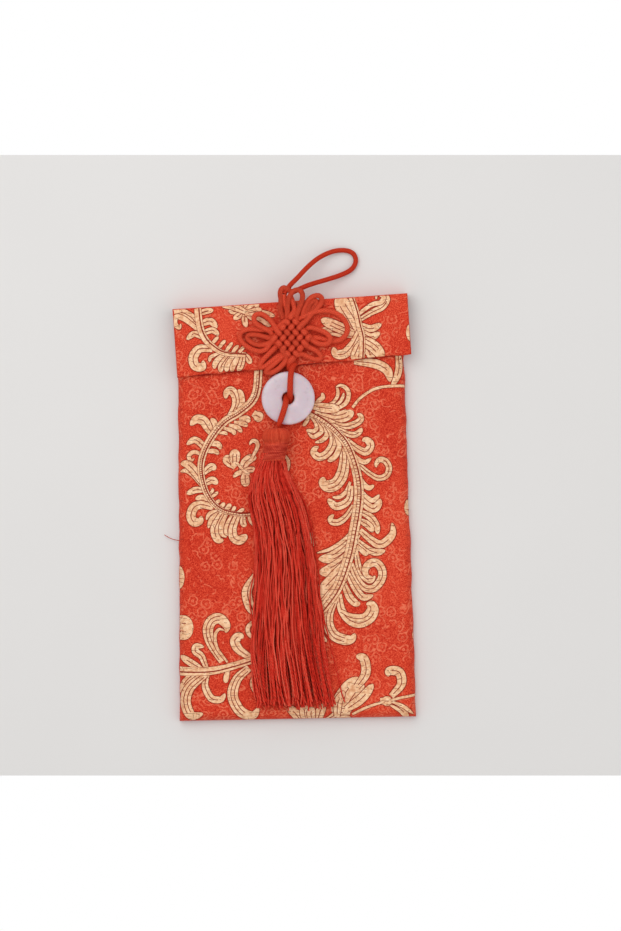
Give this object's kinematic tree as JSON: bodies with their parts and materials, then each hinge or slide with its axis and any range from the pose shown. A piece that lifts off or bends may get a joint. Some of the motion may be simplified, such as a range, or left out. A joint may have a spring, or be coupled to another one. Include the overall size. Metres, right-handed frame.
{
  "type": "brocade red envelope",
  "caption": "Red brocade gift envelope: a lined pocket under a folding flap that carries a woven knot, a hanging loop, a white jade disc and a long thread tassel.",
  "frame": {"origin": "centre of the underside of the envelope's footprint without the hanging loop, on the surface that it lies on", "axes": "+Y from the bottom edge to the fold, +Z out of the front, +X to the right as the front is looked at"},
  "size_m": [0.1007, 0.1993, 0.0184],
  "materials": {
    "brocade": "satin red damask with gold plumes",
    "board": "grey card",
    "lining": "plain red satin",
    "sewing_thread": "red thread",
    "loop_pile": "soft pile tape",
    "hook_pile": "hooked tape",
    "cord": "braided satin cord",
    "jade": "polished white jade",
    "tassel_thread": "twisted glossy thread",
    "binding_thread": "wound glossy thread"
  },
  "bodies": {
    "pouch": {"back_brocade": "brocade", "back_board": "board", "back_lining": "lining", "front_lining": "lining", "front_board": "board", "front_brocade": "brocade", "left_seam": "brocade", "right_seam": "brocade", "bottom_seam": "brocade", "left_stitches": "sewing_thread", "right_stitches": "sewing_thread", "loop_tape": "loop_pile"},
    "fold": {"fold_brocade": "brocade", "fold_lining": "lining"},
    "flap": {"flap_lining": "lining", "flap_board": "board", "flap_brocade": "brocade", "hook_tape": "hook_pile", "knot": "cord", "knot_tacks": "sewing_thread"},
    "loop": {"hanging_loop": "cord"},
    "tails": {"front_tail": "cord", "back_tail": "cord"},
    "disc": {"jade_disc": "jade"},
    "tassel": {"tassel_head": "tassel_thread", "tassel_binding": "binding_thread", "tassel_skirt": "tassel_thread"}
  },
  "joints": [
    {"name": "fold_crease", "type": "hinge", "parent": "pouch", "child": "fold", "pos_m": [0, 0.08825, 0], "axis": [-0.9988, -0.0488, 0], "range_deg": [0, 90]},
    {"name": "flap_crease", "type": "hinge", "parent": "fold", "child": "flap", "pos_m": [0, 0.08825, 0.0089], "axis": [-0.9988, -0.0488, 0], "range_deg": [0, 90], "deforming": ["hanging_loop"]},
    {"name": "loop_lift", "type": "hinge", "parent": "flap", "child": "loop", "pos_m": [-0.00121, 0.09115, 0.01125], "axis": [1, 0, 0], "range_deg": [0, 90]},
    {"name": "tails_lift", "type": "hinge", "parent": "flap", "child": "tails", "pos_m": [0.0004, 0.06175, 0.01125], "axis": [-1, 0, 0], "range_deg": [0, 60]},
    {"name": "disc_turn", "type": "hinge", "parent": "tails", "child": "disc", "pos_m": [-0.0015, 0.04735, 0.0102], "axis": [0, 0, 1], "continuous": true},
    {"name": "tassel_sway", "type": "hinge", "parent": "tails", "child": "tassel", "pos_m": [-0.0068, 0.02895, 0.0126], "axis": [0, 0, 1], "range_deg": [-15, 15]}
  ],
  "couplings": [
    {"joint": "fold_crease", "follows": "flap_crease", "ratio": 1}
  ]
}
